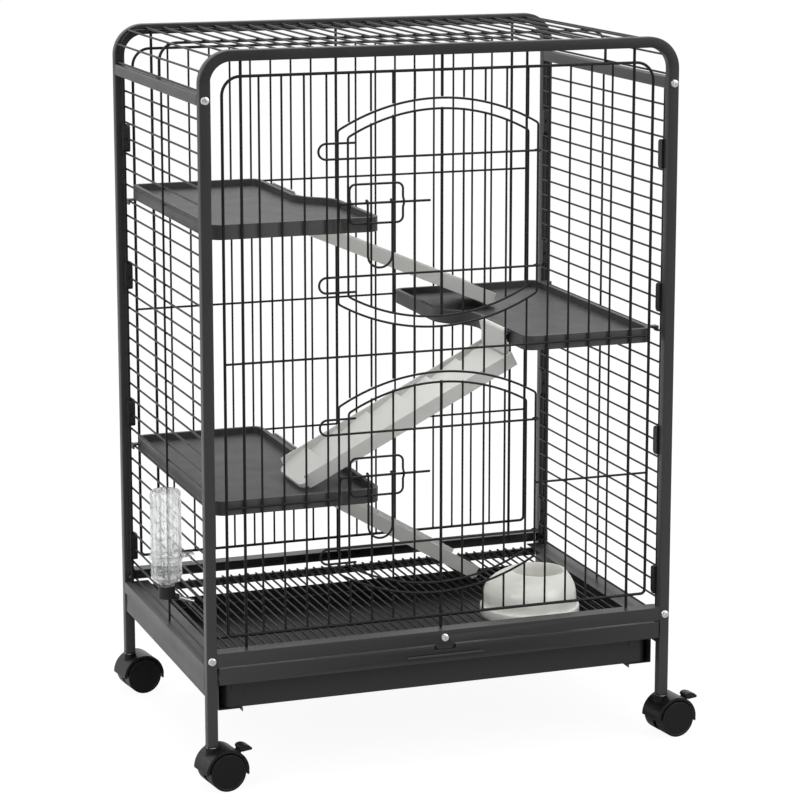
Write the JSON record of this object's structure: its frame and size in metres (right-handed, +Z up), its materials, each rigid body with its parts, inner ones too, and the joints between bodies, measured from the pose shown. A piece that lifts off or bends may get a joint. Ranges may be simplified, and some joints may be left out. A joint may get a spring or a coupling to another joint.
{
  "type": "small animal cage",
  "caption": "Tall wire cage on casters with latched wire doors, shelves joined by stepped ramps, a slide-out pan, a bowl and a drinking bottle.",
  "frame": {"origin": "on the floor under the middle of the cage", "axes": "+X to the right seen from the door side, +Y to the back, +Z up"},
  "size_m": [0.7391, 0.481, 0.9525],
  "materials": {
    "tube_paint": "satin charcoal powder coat",
    "wire_paint": "satin black powder coat",
    "sheet_paint": "satin charcoal powder coat",
    "black_plastic": "fine moulded grain",
    "shelf_plastic": "fine moulded grain",
    "ramp_plastic": "smooth moulded",
    "bowl_plastic": "smooth moulded",
    "clear_plastic": "clear moulded",
    "pan_paint": "satin powder coat",
    "zinc": "bright zinc plate",
    "screw_nickel": "bright nickel plate",
    "caster_plastic": "smooth moulded nylon"
  },
  "bodies": {
    "frame": {"front_frame": "tube_paint", "rear_frame": "tube_paint", "top_rail_left": "tube_paint", "top_rail_right": "tube_paint", "base_rail_front": "tube_paint", "base_rail_rear": "tube_paint", "base_side_left": "sheet_paint", "base_side_right": "sheet_paint", "tray_runner_left": "sheet_paint", "tray_runner_right": "sheet_paint", "floor_strip_front": "sheet_paint", "floor_strip_rear": "sheet_paint", "frame_nuts": "wire_paint", "floor_grid": "wire_paint", "front_panel": "wire_paint", "rear_panel": "wire_paint", "side_panel_left": "wire_paint", "side_panel_right": "wire_paint", "top_panel": "wire_paint", "upper_door_opening": "wire_paint", "lower_door_opening": "wire_paint", "post_clips": "black_plastic", "bottle_cap": "black_plastic", "leg_plugs": "black_plastic", "platform_upper": "shelf_plastic", "platform_middle": "shelf_plastic", "platform_lower": "shelf_plastic", "bottle_body": "clear_plastic", "bottle_clip": "clear_plastic", "bottle_spout": "zinc", "rail_inserts": "zinc", "caster_stems": "zinc", "frame_screws": "screw_nickel"},
    "upper_door": {"upper_door_grille": "wire_paint", "upper_door_bars": "wire_paint", "upper_latch_ring": "wire_paint"},
    "upper_rod": {"upper_latch_rod": "wire_paint"},
    "upper_handle": {"upper_latch_handle": "wire_paint"},
    "lower_door": {"lower_door_grille": "wire_paint", "lower_door_bars": "wire_paint", "lower_latch_ring": "wire_paint"},
    "lower_rod": {"lower_latch_rod": "wire_paint"},
    "lower_handle": {"lower_latch_handle": "wire_paint"},
    "tray": {"tray_pan": "pan_paint", "tray_front": "tube_paint"},
    "ramp_upper": {"ramp_upper": "ramp_plastic"},
    "ramp_lower": {"ramp_lower": "ramp_plastic"},
    "ramp_middle": {"ramp_middle": "ramp_plastic"},
    "bowl": {"bowl": "bowl_plastic"},
    "caster_front_left": {"hood_front_left": "caster_plastic"},
    "wheel_front_left": {"wheels_front_left": "caster_plastic"},
    "brake_front_left": {"brake_front_left": "caster_plastic"},
    "caster_front_right": {"hood_front_right": "caster_plastic"},
    "wheel_front_right": {"wheels_front_right": "caster_plastic"},
    "brake_front_right": {"brake_front_right": "caster_plastic"},
    "caster_rear_left": {"hood_rear_left": "caster_plastic"},
    "wheel_rear_left": {"wheels_rear_left": "caster_plastic"},
    "caster_rear_right": {"hood_rear_right": "caster_plastic"},
    "wheel_rear_right": {"wheels_rear_right": "caster_plastic"}
  },
  "joints": [
    {"name": "upper_door_hinge", "type": "hinge", "parent": "frame", "child": "upper_door", "pos_m": [0.1313, -0.2085, 0.7347], "axis": [0, 0, 1], "range_deg": [0, 150]},
    {"name": "upper_rod_slide", "type": "slide", "parent": "upper_door", "child": "upper_rod", "axis": [1, 0, 0], "range_m": [-0.0085, 0.004]},
    {"name": "upper_handle_swing", "type": "hinge", "parent": "upper_rod", "child": "upper_handle", "pos_m": [-0.0877, -0.21195, 0.7524], "axis": [-1, 0, 0], "range_deg": [0, 120]},
    {"name": "lower_door_hinge", "type": "hinge", "parent": "frame", "child": "lower_door", "pos_m": [0.1313, -0.2085, 0.3787], "axis": [0, 0, 1], "range_deg": [0, 150]},
    {"name": "lower_rod_slide", "type": "slide", "parent": "lower_door", "child": "lower_rod", "axis": [1, 0, 0], "range_m": [-0.0085, 0.004]},
    {"name": "lower_handle_swing", "type": "hinge", "parent": "lower_rod", "child": "lower_handle", "pos_m": [-0.0877, -0.21195, 0.3964], "axis": [-1, 0, 0], "range_deg": [0, 120]},
    {"name": "tray_slide", "type": "slide", "parent": "frame", "child": "tray", "axis": [0, -1, 0], "range_m": [0, 0.4]},
    {"name": "ramp_upper_hinge", "type": "hinge", "parent": "frame", "child": "ramp_upper", "pos_m": [-0.1182, 0.1015, 0.7297], "axis": [0, -1, 0], "range_deg": [0, 20]},
    {"name": "ramp_lower_hinge", "type": "hinge", "parent": "frame", "child": "ramp_lower", "pos_m": [-0.1182, 0.1015, 0.3737], "axis": [0, -1, 0], "range_deg": [0, 20]},
    {"name": "ramp_middle_hinge", "type": "hinge", "parent": "frame", "child": "ramp_middle", "pos_m": [0.1142, -0.1015, 0.5607], "axis": [0, 1, 0], "range_deg": [0, 20]},
    {"name": "bowl_lift", "type": "slide", "parent": "frame", "child": "bowl", "axis": [0, 0, 1], "range_m": [0, 0.05]},
    {"name": "caster_front_left_swivel", "type": "hinge", "parent": "frame", "child": "caster_front_left", "pos_m": [-0.318, -0.214, 0.05], "axis": [0, 0, 1], "continuous": true},
    {"name": "wheel_front_left_spin", "type": "hinge", "parent": "caster_front_left", "child": "wheel_front_left", "pos_m": [-0.30462, -0.21224, 0.0245], "axis": [-0.1305, 0.9914, 0], "continuous": true},
    {"name": "brake_front_left_press", "type": "hinge", "parent": "caster_front_left", "child": "brake_front_left", "pos_m": [-0.2833, -0.20943, 0.0425], "axis": [-0.1305, 0.9914, 0], "range_deg": [0, 18]},
    {"name": "caster_front_right_swivel", "type": "hinge", "parent": "frame", "child": "caster_front_right", "pos_m": [0.318, -0.214, 0.05], "axis": [0, 0, 1], "continuous": true},
    {"name": "wheel_front_right_spin", "type": "hinge", "parent": "caster_front_right", "child": "wheel_front_right", "pos_m": [0.33138, -0.21224, 0.0245], "axis": [-0.1305, 0.9914, 0], "continuous": true},
    {"name": "brake_front_right_press", "type": "hinge", "parent": "caster_front_right", "child": "brake_front_right", "pos_m": [0.3527, -0.20943, 0.0425], "axis": [-0.1305, 0.9914, 0], "range_deg": [0, 18]},
    {"name": "caster_rear_left_swivel", "type": "hinge", "parent": "frame", "child": "caster_rear_left", "pos_m": [-0.318, 0.214, 0.05], "axis": [0, 0, 1], "continuous": true},
    {"name": "wheel_rear_left_spin", "type": "hinge", "parent": "caster_rear_left", "child": "wheel_rear_left", "pos_m": [-0.30462, 0.21576, 0.0245], "axis": [-0.1305, 0.9914, 0], "continuous": true},
    {"name": "caster_rear_right_swivel", "type": "hinge", "parent": "frame", "child": "caster_rear_right", "pos_m": [0.318, 0.214, 0.05], "axis": [0, 0, 1], "continuous": true},
    {"name": "wheel_rear_right_spin", "type": "hinge", "parent": "caster_rear_right", "child": "wheel_rear_right", "pos_m": [0.33138, 0.21576, 0.0245], "axis": [-0.1305, 0.9914, 0], "continuous": true}
  ]
}
